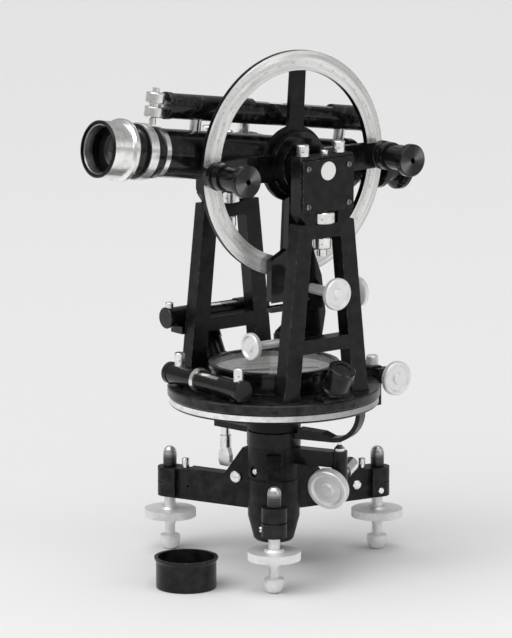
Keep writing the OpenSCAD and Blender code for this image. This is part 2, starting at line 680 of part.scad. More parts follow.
// Reading microscope along X; the eye end looks outwards
module microscope(y) color("dimgray") translate([clip_x + clip_t / 2, y, z_axis]) along_x() difference() {
    rotate_extrude() polygon([
        [0, 0], [8.4, 0], [8.4, 2.4], [7, 3], [7, 22], [8.2, 22.6], [8.2, 24.4], [9.5, 25], [9.5, 28],
        [8.8, 28.8], [1.6, 28.8], [1.6, 25.6], [0, 25.6]
    ]);
    translate([0, 0, -1]) cylinder(r = 4.6, h = 22);
}

module microscope_left() microscope(-vernier_reach);
module microscope_right() microscope(vernier_reach);

module microscope_rings() color("silver") for (s = [-1, 1])
    translate([clip_x + clip_t / 2 + 5.6, s * vernier_reach, z_axis]) along_x() ring(8.3, 7.02, 4);

// Arm that hangs from the vernier frame; its blocks take the tangent and clip screws,
// and its tail is bolted to the front standard's cross-bar
module clip_arm() color("dimgray") difference() {
    union() {
        translate([clip_x - clip_t / 2, 0, 0]) along_x() rotate([0, 0, 90]) linear_extrude(clip_t) polygon([
            [-8, z_axis - 18], [8, z_axis - 18], [9, z_axis - 48], [16, z_axis - 66], [19, z_axis - 88],
            [16, z_axis - 104], [-14, z_axis - 104], [-15, z_axis - 96], [-8, z_axis - 91],
            [-8, z_axis - 84], [-21, z_axis - 84], [-21, z_axis - 54], [-9, z_axis - 48]
        ]);
        translate([clip_x - 4.6, 5, tangent_knob_at[2] - 5]) cube([9.2, 10, 10]);
        translate([clip_x - 4.6, -14, clip_knob_at[2] - 5]) cube([9.2, 20, 10]);
        translate([clip_x, -5, bar_z + 1]) cube([standard_in - clip_x - 0.02, 10, bar_h - 2]);
        translate([clip_x, clamp_knob_at[1], clamp_knob_at[2]]) along_x() cylinder(r = 6, h = 8);
    }
    translate([clip_x - 10, 0, z_axis]) along_x() cylinder(r = 19.02, h = 20);
    translate([0, clamp_knob_at[1], clamp_knob_at[2]]) along_x() cylinder(r = 3.05, h = 60);
    translate([clip_x, -60, tangent_knob_at[2]]) along_back() cylinder(r = 2.45, h = 120);
    translate([clip_x, -60, clip_knob_at[2]]) along_back() cylinder(r = 2.45, h = 74);
}

module vertical_clamp_screw() color("gainsboro")
    translate([clamp_knob_at[0] - 3.6, clamp_knob_at[1], clamp_knob_at[2]]) along_x() knob(18.5, 3.6, 3, 30);

module vertical_tangent_screw() color("gainsboro") translate(tangent_knob_at) along_back()
    knob(17, 3.6, 2.4, 38);

module clip_screw() color("gainsboro") translate(clip_knob_at) along_front() knob(16, 3.5, 2.4, 44);

// Axle with the cone of the plain side and the short boss of the circle's side
module trunnion() color("dimgray") tilted() difference() {
    union() {
        translate([-standard_in - standard_t - 1.4, 0, 0]) along_x()
            cylinder(r = pivot_r, h = 2 * (standard_in + standard_t + 1.4));
        translate([-standard_in + 0.6, 0, 0]) along_x() rotate_extrude() polygon([
            [0, 0], [9, 0], [10, 3], [13, 22], [13, 29], [0, 29]
        ]);
        along_x() cylinder(r = boss_r, h = boss_x);
    }
    translate([0, 60, 0]) along_front() cylinder(r = tube_r, h = 120);
}

// Outside of the main tube with its flanges, along Z; the eye end is stepped
module tube_body() rotate_extrude() polygon([
    [0, -eye_reach + 22], [9.6, -eye_reach + 22], [10, -eye_reach + 30], [tube_r - 1, -56],
    [tube_r + 1, -55], [tube_r + 1, -50], [tube_r, -49], [tube_r, 17], [tube_r, 92],
    [tube_r + 1.6, 93], [tube_r + 1.6, -band_y - 0.4], [tube_r, -band_y], [tube_r, -flange_y],
    [0, -flange_y]
]);

module telescope_tube() color("dimgray") tilted() along_front() difference() {
    tube_body();
    translate([0, 0, -eye_reach]) cylinder(r = 7.05, h = 200);
    translate([0, 0, -40]) cylinder(r = tube_r - 1.6, h = 220);
}

module telescope_bands() color("silver") tilted() along_front() {
    translate([0, 0, 95.6]) ring(tube_r + 2.3, tube_r + 1.6, 5.6);
    translate([0, 0, 86]) ring(tube_r + 0.8, tube_r, 3);
}

// Cell on its draw tube; the sleeve in front takes the cap or the sun shade
module objective_cell() color("silver") tilted() along_front() translate([0, 0, -flange_y + 0.3]) {
    difference() {
        rotate_extrude() polygon([
            [0, 0], [sleeve_r + 1.6, 0], [sleeve_r + 1.8, 0.6], [sleeve_r + 1.8, 2.6], [sleeve_r, 3.6],
            [sleeve_r, objective_reach + flange_y - 1], [sleeve_r - 0.8, objective_reach + flange_y - 0.3],
            [0, objective_reach + flange_y - 0.3]
        ]);
        translate([0, 0, 5]) cylinder(r = sleeve_r - 1.6, h = 40);
        translate([0, 0, -1]) cylinder(r = tube_r - 2.8, h = 40);
    }
    translate([0, 0, -32]) ring(tube_r - 1.65, tube_r - 2.8, 32.5);
}

module objective_lens() color("aliceblue") tilted() along_front() translate([0, 0, -flange_y + 5.3])
    rotate_extrude() intersection() {
        translate([0, -30]) circle(r = 34, $fn = 96);
        square([sleeve_r - 1.62, 4]);
    }

module eyepiece() color("dimgray") tilted() along_back() difference() {
    rotate_extrude() polygon([
        [0, eye_reach - 46], [7, eye_reach - 46], [7, eye_reach - 20.6], [12.6, eye_reach - 20],
        [13, eye_reach - 19.4], [13, eye_reach - 16.4], [12.4, eye_reach - 15.8], [9, eye_reach - 15.2],
        [8.4, eye_reach - 5], [11, eye_reach - 4.4], [13, eye_reach - 3], [13, eye_reach - 0.6],
        [12.4, eye_reach], [0, eye_reach]
    ]);
    translate([0, 0, eye_reach - 50]) cylinder(r = 5, h = 40);
    translate([0, 0, eye_reach - 8]) cylinder(r = 4, h = 9);
}

module eyepiece_lens() color("aliceblue") tilted() along_back() translate([0, 0, eye_reach - 4])
    cylinder(r = 3.98, h = 2);

module reticle_screws() color("silver") tilted() difference() {
    for (a = [45 : 90 : 315]) translate([0, 62, 0]) rotate([0, a, 0]) {
        translate([0, 0, tube_r - 3.6]) cylinder(r = 1.4, h = 3.6);
        translate([0, 0, tube_r - 0.4]) capstan_nut(4, 3);
    }
    along_front() tube_body();
}

// Focusing pinion on the side away from the circle
module focus_pinion() color("gainsboro") tilted() translate([-tube_r - 8, -30, 0])
    rotate([0, -90, 0]) knob(16, 4, 2.5, 7.9);

// Silvered ring with tapered spokes and a boss, turning with the telescope
module vertical_circle() color("lightgray") tilted() translate([circle_x - circle_t / 2, 0, 0]) along_x()
    rotate([0, 0, 90]) difference() {
        union() {
            rotate_extrude() polygon([
                [circle_r - circle_ring_w, 0], [circle_r, 0], [circle_r, circle_t - 0.9],
                [circle_r - 4.4, circle_t], [circle_r - circle_ring_w, circle_t]
            ]);
            for (i = [0 : spokes - 1]) rotate([0, 0, 360 * i / spokes + spoke_turn]) linear_extrude(circle_t - 0.4) polygon([
                [0, -5.6], [circle_r - circle_ring_w + 1, -5], [circle_r - circle_ring_w + 1, 5], [0, 5.6]
            ]);
            cylinder(r = 22, h = circle_t - 0.2);
        }
        translate([0, 0, -1]) cylinder(r = pivot_r + 4, h = 10);
    }

// Flanged bush that centres the circle on the axle
module circle_hub() color("silver") tilted() translate([boss_x + 0.02, 0, 0]) along_x() difference() {
    union() {
        cylinder(r = boss_r, h = 0.76);
        cylinder(r = pivot_r + 3.98, h = circle_t + 0.2);
    }
    translate([0, 0, -1]) cylinder(r = pivot_r, h = 10);
}

module telescope_level() color("dimgray") tilted() translate([0, level_front, tele_level_lift]) along_back()
    rotate([0, 0, -90]) level_casing(tele_level_r, level_back - level_front, 62, 60, 1.6);

module telescope_level_vial() color("honeydew") tilted() translate([0, level_front + 4, tele_level_lift])
    along_back() cylinder(r = tele_level_r - 2.15, h = level_back - level_front - 8);

// Posts, studs and nuts that carry the long level on the tube
module telescope_level_posts() color("silver") tilted() {
    for (y = [-60, 46]) difference() {
        translate([0, y, tube_r - 1]) cylinder(r = 3.4, h = tele_level_lift - tele_level_r - tube_r + 3);
        translate([0, y - 9, 0]) along_back() cylinder(r = tube_r, h = 18);
        translate([0, y - 9, tele_level_lift]) along_back() cylinder(r = tele_level_r - 0.5, h = 18);
    }
    translate([0, level_front - 7, 0]) {
        translate([0, 0, tube_r + 1.62]) cylinder(r = 2, h = 21);
        translate([0, 0, tele_level_lift - 7]) capstan_nut(11, 6);
        translate([0, 0, tele_level_lift + 1]) capstan_nut(11, 6);
        translate([0, 0, tele_level_lift - 1]) cylinder(r = 3, h = 2);
    }
    translate([0, level_front, tele_level_lift]) along_front() cylinder(r = 3.4, h = 4.4);
    translate([0, level_back, tele_level_lift]) along_back() cylinder(r = 3.6, h = 3.4);
}

module lens_cap() color("dimgray") translate([cap_place[0], cap_place[1], z_floor]) rotate_extrude() polygon([
    [0, 0], [cap_in + cap_wall - 0.6, 0], [cap_in + cap_wall, 0.6], [cap_in + cap_wall, cap_h - 2.6],
    [cap_in + cap_wall + 1, cap_h - 1], [cap_in + cap_wall + 1, cap_h], [cap_in, cap_h], [cap_in, 1.4],
    [0, 1.4]
]);

tribrach();
boss_screws();
arm_screws();
foot_screw_front();
foot_screw_right();
foot_screw_left();
lower_clamp_collar();
lower_clamp_screw();
lower_tangent_screw();
lower_spring_box();
tangent_arm();
outer_centre();
limb();
inner_centre();
upper_clamp_screw();
vernier_plate();
vernier_covers();
vernier_scales();
magnifier_front();
magnifier_back();
tangent_bracket();
upper_tangent_screw();
compass_box();
compass_dial();
compass_needle();
compass_glass();
plate_level();
plate_level_vial();
side_level();
side_level_vial();
level_nuts();
standard_front();
standard_back();
bearing_covers();
cover_screws();
bearing_nuts();
vernier_frame();
microscope_left();
microscope_right();
microscope_rings();
clip_arm();
vertical_clamp_screw();
vertical_tangent_screw();
clip_screw();
trunnion();
telescope_tube();
telescope_bands();
objective_cell();
objective_lens();
eyepiece();
eyepiece_lens();
reticle_screws();
focus_pinion();
vertical_circle();
circle_hub();
telescope_level();
telescope_level_vial();
telescope_level_posts();
lens_cap();
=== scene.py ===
# Transit theodolite of the five inch class, dressed for its portrait on a pale studio floor.
# Lengths are in metres. X is the trunnion axis, the telescope looks along -Y, Z is up.
import json
import math

import bmesh
import bpy
from mathutils import Matrix, Vector


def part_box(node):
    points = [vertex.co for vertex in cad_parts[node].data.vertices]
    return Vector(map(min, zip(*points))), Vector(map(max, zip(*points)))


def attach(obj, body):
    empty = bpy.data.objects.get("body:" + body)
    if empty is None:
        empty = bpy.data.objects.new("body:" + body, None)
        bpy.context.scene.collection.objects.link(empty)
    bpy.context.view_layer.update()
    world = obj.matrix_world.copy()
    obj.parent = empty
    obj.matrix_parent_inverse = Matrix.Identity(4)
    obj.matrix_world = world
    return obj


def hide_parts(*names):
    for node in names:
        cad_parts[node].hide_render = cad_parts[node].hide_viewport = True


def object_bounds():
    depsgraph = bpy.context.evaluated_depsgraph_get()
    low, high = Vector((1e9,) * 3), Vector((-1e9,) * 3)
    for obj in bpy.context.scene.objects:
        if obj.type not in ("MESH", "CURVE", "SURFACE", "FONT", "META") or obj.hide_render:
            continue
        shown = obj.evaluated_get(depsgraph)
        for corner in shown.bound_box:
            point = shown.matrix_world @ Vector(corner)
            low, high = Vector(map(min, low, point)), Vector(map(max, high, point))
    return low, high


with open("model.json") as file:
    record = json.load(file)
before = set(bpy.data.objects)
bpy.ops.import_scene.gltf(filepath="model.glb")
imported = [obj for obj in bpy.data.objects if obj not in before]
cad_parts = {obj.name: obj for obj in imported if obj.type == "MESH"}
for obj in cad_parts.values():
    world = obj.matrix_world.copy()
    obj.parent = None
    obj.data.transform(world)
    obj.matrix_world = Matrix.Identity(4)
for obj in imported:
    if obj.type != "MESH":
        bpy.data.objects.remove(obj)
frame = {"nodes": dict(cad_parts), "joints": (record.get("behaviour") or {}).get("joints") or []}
nodes = frame["nodes"]
cad_box = [list(corner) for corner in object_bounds()]

# Studio
# A pale paper floor runs far behind the instrument. A soft sun from above, three broad
# lamps and a dim room light it evenly, and the camera stands where the photographer's did.
floor_z = cad_box[0][2]
floor_size = 9
camera_distance = 2.9
sensor_height_mm = 36
lens_mm = 282
look_at = Vector((-0.0064, -0.0082, 0.131))
towards = Vector((0.7727, -0.6037, 0.1959)).normalized()
to_left = Vector((-0.616, -0.788, 0))

scene = bpy.context.scene
scene.view_settings.view_transform = "Standard"
camera_data = bpy.data.cameras.new("portrait_camera")
camera_data.sensor_fit = "VERTICAL"
camera_data.sensor_height = sensor_height_mm
camera_data.lens = lens_mm
camera_data.clip_start = 0.05
camera_data.clip_end = 60
camera = bpy.data.objects.new("portrait_camera", camera_data)
camera.location = look_at + towards * camera_distance
camera.rotation_euler = (-towards).to_track_quat("-Z", "Y").to_euler()
scene.collection.objects.link(camera)
scene.camera = camera


class Tone:
    """A value, colour or vector on its way through a finish, with arithmetic."""

    def __init__(self, finish, socket):
        self.finish = finish
        self.socket = socket

    def sum_up(self, operation, *values):
        return self.finish.add("ShaderNodeMath", {"operation": operation}, dict(enumerate(values)))

    def __add__(self, other):
        return self.sum_up("ADD", self, other)

    __radd__ = __add__

    def __sub__(self, other):
        return self.sum_up("SUBTRACT", self, other)

    def __rsub__(self, other):
        return self.sum_up("SUBTRACT", other, self)

    def __mul__(self, other):
        return self.sum_up("MULTIPLY", self, other)

    __rmul__ = __mul__

    def __truediv__(self, other):
        return self.sum_up("DIVIDE", self, other)

    def __gt__(self, other):
        return self.sum_up("GREATER_THAN", self, other)

    def __lt__(self, other):
        return self.sum_up("LESS_THAN", self, other)

    def __abs__(self):
        return self.sum_up("ABSOLUTE", self)

    def root(self):
        return self.sum_up("SQRT", self)

    def part(self):
        return self.sum_up("FRACT", self)

    def sine(self):
        return self.sum_up("SINE", self)

    def angle_over(self, across):
        return self.sum_up("ARCTAN2", self, across)

    def joined(self, other):
        return self.sum_up("MAXIMUM", self, other)

    def between(self, low, high):
        return (self > low) * (self < high)


class Finish:
    """A material: one principled shader, and the nodes that vary it over a surface."""

    def __init__(self, name, **constants):
        self.material = bpy.data.materials.new(name)
        self.material.use_nodes = True
        self.tree = self.material.node_tree
        self.tree.nodes.clear()
        self.shader = self.tree.nodes.new("ShaderNodeBsdfPrincipled")
        end = self.tree.nodes.new("ShaderNodeOutputMaterial")
        self.tree.links.new(self.shader.outputs[0], end.inputs[0])
        for socket, value in constants.items():
            self.set(socket.replace("_", " "), value)

    def add(self, kind, settings=None, inputs=None, output=0):
        node = self.tree.nodes.new(kind)
        for name, value in (settings or {}).items():
            if name == "stops":
                ramp = node.color_ramp
                while len(ramp.elements) < len(value):
                    ramp.elements.new(0.5)
                for element, (place, shade) in zip(ramp.elements, value):
                    element.position = place
                    element.color = (shade, shade, shade, 1)
            else:
                setattr(node, name, value)
        for key, value in (inputs or {}).items():
            self.feed(node.inputs[key], value)
        return Tone(self, node.outputs[output])

    def feed(self, socket, value):
        if isinstance(value, Tone):
            self.tree.links.new(value.socket, socket)
        elif socket.type == "RGBA" and len(value) == 3:
            socket.default_value = (*value, 1)
        else:
            socket.default_value = value

    def set(self, socket, value):
        self.feed(self.shader.inputs[socket], value)

    def place(self):
        """The Object coordinates, which move with the piece."""
        return self.add("ShaderNodeTexCoord", output=3)

    def along(self):
        """The place as its three parts: x, y and z."""
        parts = self.add("ShaderNodeSeparateXYZ", None, {0: self.place()})
        outputs = parts.socket.node.outputs
        return [Tone(self, outputs[i]) for i in range(3)]

    def grain(self, scale, detail=4, rough=0.55, stretch=(1, 1, 1)):
        where = self.add("ShaderNodeMapping", None, {0: self.place(), 3: stretch})
        return self.add("ShaderNodeTexNoise", None,
                        {"Vector": where, "Scale": scale, "Detail": detail, "Roughness": rough})

    def ramp(self, value, *stops):
        return self.add("ShaderNodeValToRGB", {"stops": stops}, {0: value})

    def blend(self, amount, first, second):
        return self.add("ShaderNodeMix", {"data_type": "RGBA"}, {0: amount, 6: first, 7: second}, 2)

    def cover(self, mask, colour, metallic, roughness):
        """Lay another surface over the first one where the mask is 1."""
        for socket, value in (("Base Color", colour), ("Metallic", metallic), ("Roughness", roughness)):
            below = self.shader.inputs[socket]
            if below.links:
                below = Tone(self, below.links[0].from_socket)
            else:
                below = below.default_value if socket != "Base Color" else below.default_value[:3]
            if socket == "Base Color":
                self.set(socket, self.blend(mask, below, value))
            else:
                self.set(socket, mask * value + (1 - mask) * below)

    def bump(self, height, strength, distance):
        self.set("Normal", self.add("ShaderNodeBump", None,
                                    {"Strength": strength, "Distance": distance, "Height": height}))

    def edges(self, reach):
        """A mask that is 1 along outer edges, within about this reach of them."""
        open_air = self.add("ShaderNodeAmbientOcclusion",
                            {"inside": True, "only_local": True, "samples": 6}, {"Distance": reach}, 1)
        return self.ramp(open_air, (0.35, 1), (0.8, 0))


def piece_from(bm, name):
    """A piece with the shape of a bmesh, which is given up."""
    piece = bpy.data.objects.new(name, bpy.data.meshes.new(name))
    bm.to_mesh(piece.data)
    bm.free()
    return piece


paper = Finish("floor_paper", Roughness=0.9, Specular_IOR_Level=0.1)
x, y, z = paper.along()
depth = (x * -towards.x + y * -towards.y) * 0.4 + 0.1
paper.set("Base Color", paper.ramp(depth, (0, 0.79), (0.2, 0.735), (1, 0.82)))
bm = bmesh.new()
bmesh.ops.create_grid(bm, x_segments=2, y_segments=2, size=floor_size)
bmesh.ops.translate(bm, verts=bm.verts, vec=(0, 0, floor_z))
floor_sheet = piece_from(bm, "floor_sheet")
floor_sheet.data.materials.append(paper.material)
scene.collection.objects.link(floor_sheet)

room = bpy.data.worlds.new("room")
room.use_nodes = True
scene.world = room
tree = room.node_tree
tree.nodes.clear()
seen = tree.nodes.new("ShaderNodeBackground")
seen.inputs[0].default_value = (0.78, 0.78, 0.78, 1)
felt = tree.nodes.new("ShaderNodeBackground")
felt.inputs[0].default_value = (1, 1, 1, 1)
felt.inputs[1].default_value = 0.34
ray = tree.nodes.new("ShaderNodeLightPath")
choice = tree.nodes.new("ShaderNodeMixShader")
room_end = tree.nodes.new("ShaderNodeOutputWorld")
tree.links.new(ray.outputs["Is Camera Ray"], choice.inputs[0])
tree.links.new(felt.outputs[0], choice.inputs[1])
tree.links.new(seen.outputs[0], choice.inputs[2])
tree.links.new(choice.outputs[0], room_end.inputs[0])

lamps_aim = Vector((0, 0, 0.12))
for name, spot, size, watts in (
    ("window_lamp", to_left * 1.5 + towards * 1.0 + Vector((0, 0, 1.5)), 1.0, 9),
    ("right_lamp", to_left * -1.7 + towards * 0.9 + Vector((0, 0, 0.9)), 0.8, 5),
    ("top_lamp", towards * -0.3 + Vector((0, 0, 2.1)), 1.2, 5),
):
    lamp = bpy.data.lights.new(name, "AREA")
    lamp.size = size
    lamp.energy = watts
    stand = bpy.data.objects.new(name, lamp)
    stand.location = spot
    stand.rotation_euler = (spot - lamps_aim).to_track_quat("Z", "Y").to_euler()
    scene.collection.objects.link(stand)
daylight = bpy.data.lights.new("daylight", "SUN")
daylight.energy = 1.9
daylight.angle = math.radians(75)
sun = bpy.data.objects.new("daylight", daylight)
sun_from = to_left * 0.25 + towards * 0.35 + Vector((0, 0, 1))
sun.rotation_euler = sun_from.to_track_quat("Z", "Y").to_euler()
scene.collection.objects.link(sun)

# Tribrach
# The three-armed base is one casting of gun metal, lacquered black and worn at its edges.
# Bright nickel nuts and screws pinch the split bosses.
metal_under_lacquer = (0.17, 0.165, 0.155)


def dress(finish, *names):
    """Give nodes of the frame a finish."""
    for name in names:
        for slot in nodes[name].material_slots:
            slot.material = finish.material


def lacquer(name, shade, roughness, crackle, wear, coat=0.0, ripple=0.4):
    """Black lacquer, clouded and crackled, through which worn edges show the metal."""
    finish = Finish(name, Coat_Roughness=0.1, Coat_IOR=1.35, Specular_IOR_Level=0.15)
    cloud = finish.grain(160, detail=5)
    fine = finish.grain(1700, detail=3)
    rubbed = finish.edges(0.0008) * finish.ramp(finish.grain(420, detail=4), (0.5, 0), (0.66, 1)) * wear
    black = finish.blend(finish.ramp(cloud, (0.35, 0), (0.7, 1)), (shade * 0.35,) * 3, (shade * 1.8,) * 3)
    finish.set("Base Color", finish.blend(rubbed, black, metal_under_lacquer))
    finish.set("Metallic", rubbed * 0.6)
    finish.set("Roughness", cloud * 0.2 + (roughness - 0.1))
    finish.set("Coat Weight", (1 - rubbed) * coat)
    finish.bump(fine * crackle * 0.3 + cloud * ripple, strength=0.5, distance=0.0006)
    return finish


def nickel(name, shade, roughness, tint=(1, 1, 0.985)):
    """Polished nickel with faint stains and fine scratches."""
    finish = Finish(name, Specular_IOR_Level=0.2)
    stain = finish.grain(230, detail=5)
    scratches = finish.grain(900, detail=3, rough=0.6, stretch=(1, 1, 0.15))
    finish.set("Metallic", finish.ramp(stain, (0.2, 0.9), (0.8, 1)))
    bright = tuple(shade * part for part in tint)
    stained = tuple(part * 0.72 for part in bright)
    finish.set("Base Color", finish.blend(finish.ramp(stain, (0.4, 0), (0.75, 1)), bright, stained))
    finish.set("Roughness", stain * 0.15 + scratches * 0.1 + (roughness - 0.12))
    finish.bump(scratches, strength=0.12, distance=0.00005)
    return finish


base_black = lacquer("black_base_lacquer", shade=0.015, roughness=0.4, crackle=0.7, wear=0.9, coat=0.1)
bright_nickel = nickel("bright_nickel", shade=0.93, roughness=0.24)
dress(base_black, "tribrach")
dress(bright_nickel, "boss_screws", "arm_screws")

# Foot screws
# Each foot screw is turned from nickel silver, with a disc for the fingers, a ball foot and a threaded
# head over the boss, painted dark low down and light at its top as painted shade and highlight. The
# milling is a band of its own round the disc's rim.
head_foot_z = 0.0353
painted_light_from_z = 0.0355
painted_light_height = 0.0124
thread_top_z = 0.0415
thread_pitch = 0.0008
rim_depth = 0.0018
ridge_out = 1.014
ridge_in = 0.985
thread_black = (0.02, 0.02, 0.02)
joint_at = {joint["name"]: Vector(joint["pos_m"]) for joint in frame["joints"] if "pos_m" in joint}


def frosted(name, shade, metallic):
    """Nickel frosted in acid: pale and hazy, with fine pits."""
    finish = Finish(name)
    haze = finish.grain(240, detail=5)
    pits = finish.grain(2600, detail=2)
    finish.set("Base Color", finish.blend(haze, (shade,) * 3, (shade * 0.8, shade * 0.8, shade * 0.79)))
    finish.set("Metallic", haze * 0.15 + (metallic - 0.07))
    finish.set("Roughness", haze * 0.2 + pits * 0.1 + 0.25)
    finish.bump(pits, strength=0.3, distance=0.00006)
    return finish


def rest(piece, finish, body):
    """Put a finished piece in the scene, on the body that carries it."""
    piece.data.materials.append(finish.material)
    scene.collection.objects.link(piece)
    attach(piece, body)
    return piece


def milled_rim(name, body, radius, low, high, teeth, put):
    """A ridged band round a knob or disc, from low to high along its axis."""
    bm = bmesh.new()
    bmesh.ops.create_circle(bm, cap_ends=True, segments=teeth * 2, radius=radius)
    inner = bm.faces[:]
    bmesh.ops.inset_region(bm, faces=inner, use_boundary=True, use_even_offset=True, thickness=rim_depth)
    bmesh.ops.delete(bm, geom=inner, context="FACES")
    for vert in bm.verts:
        if vert.co.length > radius - rim_depth / 2:
            ridge = round(math.atan2(vert.co.y, vert.co.x) / math.pi * teeth)
            vert.co *= ridge_out if ridge % 2 else ridge_in
    raised = bmesh.ops.extrude_face_region(bm, geom=bm.faces[:])
    top = [part for part in raised["geom"] if isinstance(part, bmesh.types.BMVert)]
    bmesh.ops.translate(bm, verts=top, vec=(0, 0, high - low))
    bmesh.ops.translate(bm, verts=bm.verts, vec=(0, 0, low))
    bmesh.ops.recalc_face_normals(bm, faces=bm.faces)
    bm.transform(put)
    return rest(piece_from(bm, name), frosted_nickel, body)


frosted_nickel = frosted("frosted_nickel", shade=0.97, metallic=0.52)
foot_steel = frosted("foot_steel", shade=0.95, metallic=0.5)
x, y, z = foot_steel.along()
thread = (z * (2 * math.pi / thread_pitch)).sine() * 0.5 + 0.5
# Painted shade and highlight: the head is painted near black low down and pale towards its top.
painted_light_steel = foot_steel.ramp((z - painted_light_from_z) / painted_light_height, (0, 0.03), (0.55, 0.16), (0.82, 0.75))
threaded = foot_steel.blend(thread * (z < thread_top_z), painted_light_steel, thread_black)
foot_steel.cover(z > head_foot_z, threaded, metallic=0.85, roughness=0.3)
for side in ("front", "right", "left"):
    foot = joint_at[f"foot_{side}_turn"]
    dress(foot_steel, f"foot_screw_{side}")
    milled_rim(f"foot_milling_{side}", f"foot_{side}", radius=0.0151, low=0.0053, high=0.0099, teeth=96,
               put=Matrix.Translation((foot.x, foot.y, 0)))

# Lower clamp and slow motion
# A black collar grips the outer centre and is pinched by a thumb screw. Its slow motion is
# a large frosted knob on a screw, against a nickel spring cup.
low_screw_turn = math.radians(-63)
low_screw_lean = math.radians(104)
arm_black = lacquer("black_arm_lacquer", shade=0.01, roughness=0.3, crackle=0.5, wear=0.8, coat=0.35)
dress(arm_black, "lower_clamp_collar", "tangent_arm")
dress(bright_nickel, "lower_spring_box", "lower_clamp_screw")
dress(frosted_nickel, "lower_tangent_screw")
milled_rim("lower_tangent_milling", "lower_tangent", radius=0.012, low=0.0137, high=0.0183, teeth=80,
           put=Matrix.Translation(joint_at["lower_tangent_turn"])
           @ Matrix.Rotation(low_screw_turn, 4, "Z") @ Matrix.Rotation(low_screw_lean, 4, "Y"))

# Centres
# Two nested centres of bell metal, turned bright, carry the lower plate and the alidade.
# The hub and the plates hide them.
bell_metal = Finish("bell_metal", Metallic=1.0)
turning = bell_metal.grain(700, detail=2, rough=0.5, stretch=(0.2, 0.2, 6))
bell_metal.set("Base Color", bell_metal.blend(turning, (0.6, 0.47, 0.27), (0.72, 0.6, 0.38)))
bell_metal.set("Roughness", turning * 0.2 + 0.16)
dress(bell_metal, "outer_centre", "inner_centre")

# Limb
# The lower plate is black below and inside. Its polished silvered rim is painted bright where it faces the
# front and dark round the sides, as painted reflection. Its degree lines lie on top, where the verniers
# read them.
limb_edge_r, _, limb_top_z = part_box("limb")[1]
limb_lines_z = limb_top_z - 0.0003
limb_lines_r = limb_edge_r - 0.005
limb_black_z = limb_top_z - 0.0036
limb_black_r = limb_edge_r - 0.0095
matt_black = (0.008, 0.008, 0.008)
rim_silver = nickel("silvered_rim", shade=0.95, roughness=0.22)
x, y, z = rim_silver.along()
reach = (x * x + y * y).root()
facing = (x * 0.1 - y) / reach
# Painted reflection: the rim is painted darker the further it turns away from the front.
painted_reflection = rim_silver.ramp(facing * 0.5 + 0.5, (0.3, 0.25), (0.75, 0.5), (0.92, 1))
rim_silver.cover(1 - painted_reflection, (0.1, 0.1, 0.1), metallic=0.6, roughness=0.25)
degrees = (y.angle_over(x) / (2 * math.pi) + 1) * 360
ticks = (abs(degrees.part() - 0.5) > 0.45) * (z > limb_lines_z) * (reach > limb_lines_r)
rim_silver.cover(ticks, (0.03, 0.03, 0.03), metallic=0.2, roughness=0.4)
rim_silver.cover((z < limb_black_z) + (reach < limb_black_r), matt_black, metallic=0, roughness=0.32)
dress(rim_silver, "limb")

# Vernier plate
# A lacquered plate closes over the limb. Two windows in it show the silvered verniers under
# bevelled frames, each read through a lacquered magnifier.
engraved_black = (0.02, 0.02, 0.02)
tarnished_silver = (0.1, 0.1, 0.1)
clean_silver = (0.95, 0.94, 0.92)
line_width = 0.00013
vernier_low_r = 0.0535
vernier_high_r = 0.0585
vernier_lines = 540


def degree_lines(across, up, low, high, per_turn=360):
    """A mask of fine lines round a circle, whose two directions are across and up.
    Every fifth line is longer, and every tenth is the longest."""
    reach = (across * across + up * up).root()
    turn = up.angle_over(across) / (2 * math.pi) + 1
    middle_turn = 2 * math.pi * (low + high) / 2
    marks = None
    for count, share in ((per_turn, 0.55), (per_turn / 5, 0.78), (per_turn / 10, 1)):
        half = line_width * count / middle_turn / 2
        off = abs((turn * count).part() - 0.5)
        mark = (off > 0.5 - half) * reach.between(low, low + (high - low) * share)
        marks = mark if marks is None else marks.joined(mark)
    return marks


def silvered(name, shade):
    """Silvering: its finish, the brush marks in it, and where it is still clean."""
    finish = Finish(name, Metallic=0.75, Specular_IOR_Level=0.2)
    brush = finish.grain(520, detail=4, rough=0.6)
    blot = finish.grain(90, detail=4)
    clean = finish.ramp(blot, (0.35, 0.86), (0.7, 1))
    return finish, brush, clean * shade


plate_black = lacquer("black_plate_lacquer", shade=0.02, roughness=0.3, crackle=0.6, wear=1.0, coat=0.3)
magnifier_black = lacquer("black_small_lacquer", shade=0.008, roughness=0.24, crackle=0.3, wear=0.8,
                          coat=0.6)
dress(plate_black, "vernier_plate", "tangent_bracket")
dress(magnifier_black, "magnifier_front", "magnifier_back")
dress(arm_black, "vernier_covers")
vernier_silver, brush, clean = silvered("silvered_vernier", shade=0.8)
x, y, z = vernier_silver.along()
lines = degree_lines(x, y, vernier_low_r, vernier_high_r, vernier_lines)
scale_face = vernier_silver.blend(clean, tarnished_silver, clean_silver)
vernier_silver.set("Base Color", vernier_silver.blend(lines, scale_face, engraved_black))
vernier_silver.set("Roughness", brush * 0.2 + 0.25)
dress(vernier_silver, "vernier_scales")

# Upper clamp and slow motion
# The bracket past the plate's edge takes a frosted knob on a long screw, and a small
# clamp screw with a milled head stands on it.
along_x = Matrix.Rotation(math.radians(90), 4, "Y")
tangent_knob_back = Vector((-0.004, 0, 0))
clamp_head_up = Vector((0, 0, 0.0051))
dress(frosted_nickel, "upper_clamp_screw", "upper_tangent_screw")
milled_rim("upper_tangent_milling", "upper_tangent", radius=0.01, low=0.0006, high=0.0032, teeth=66,
           put=Matrix.Translation(joint_at["upper_tangent_turn"] + tangent_knob_back) @ along_x)
milled_rim("upper_clamp_milling", "upper_clamp", radius=0.0036, low=0.0008, high=0.0046, teeth=26,
           put=Matrix.Translation(joint_at["upper_clamp_turn"] + clamp_head_up))

